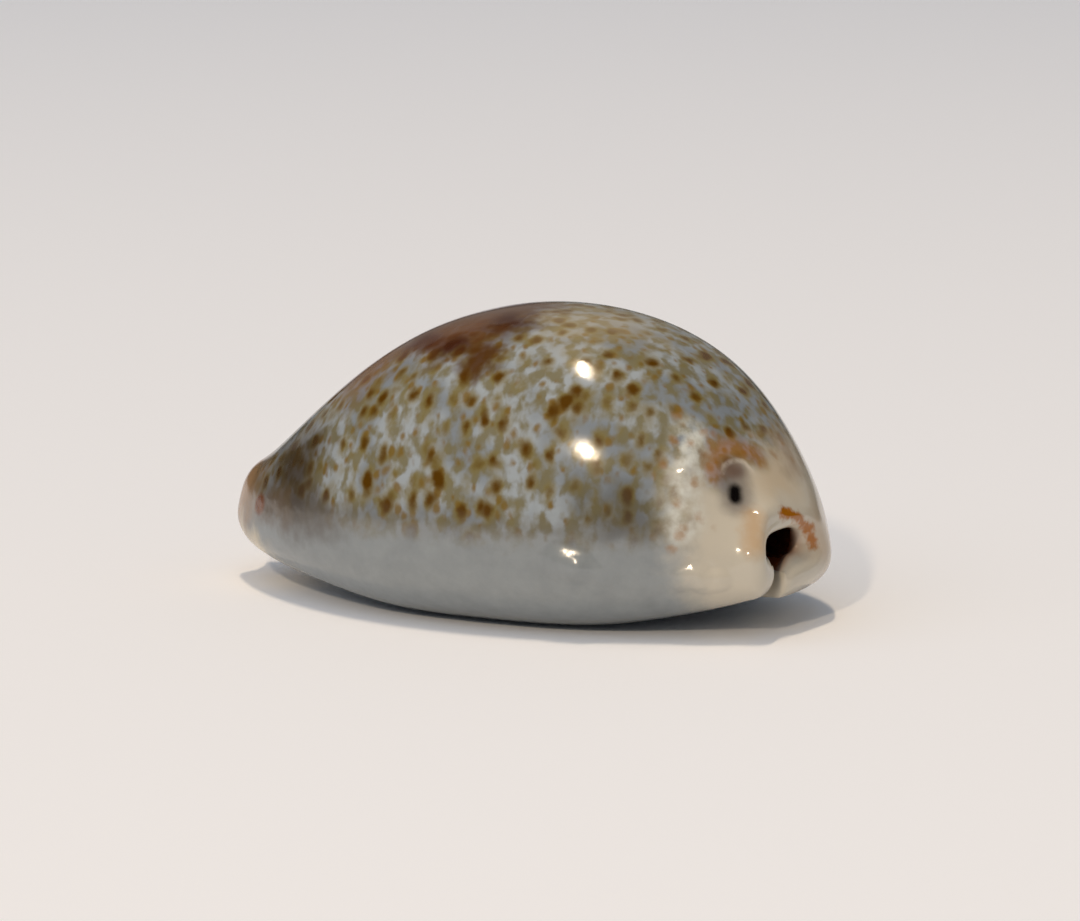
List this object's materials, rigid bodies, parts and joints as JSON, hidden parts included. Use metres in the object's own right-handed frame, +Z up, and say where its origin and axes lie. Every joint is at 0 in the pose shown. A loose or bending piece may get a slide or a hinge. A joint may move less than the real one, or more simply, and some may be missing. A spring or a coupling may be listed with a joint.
{
  "type": "cowrie shell",
  "caption": "Glossy egg-shaped sea snail shell, hollow, with a narrow toothed slit along its flat base and a canal opening at each end.",
  "frame": {"origin": "middle of the length and width, at the level of the surface the shell lies on", "axes": "+X towards the blunt rear end with the spire pit, -X towards the tapered front end, +Z up through the back, the toothed aperture facing -Z, -Y the side of the left lip"},
  "size_m": [0.0282, 0.0172, 0.013],
  "materials": {
    "shell": "polished, speckled brown on bluish white, cream below"
  },
  "bodies": {
    "root": {"cowrie_shell": "shell"}
  },
  "joints": []
}
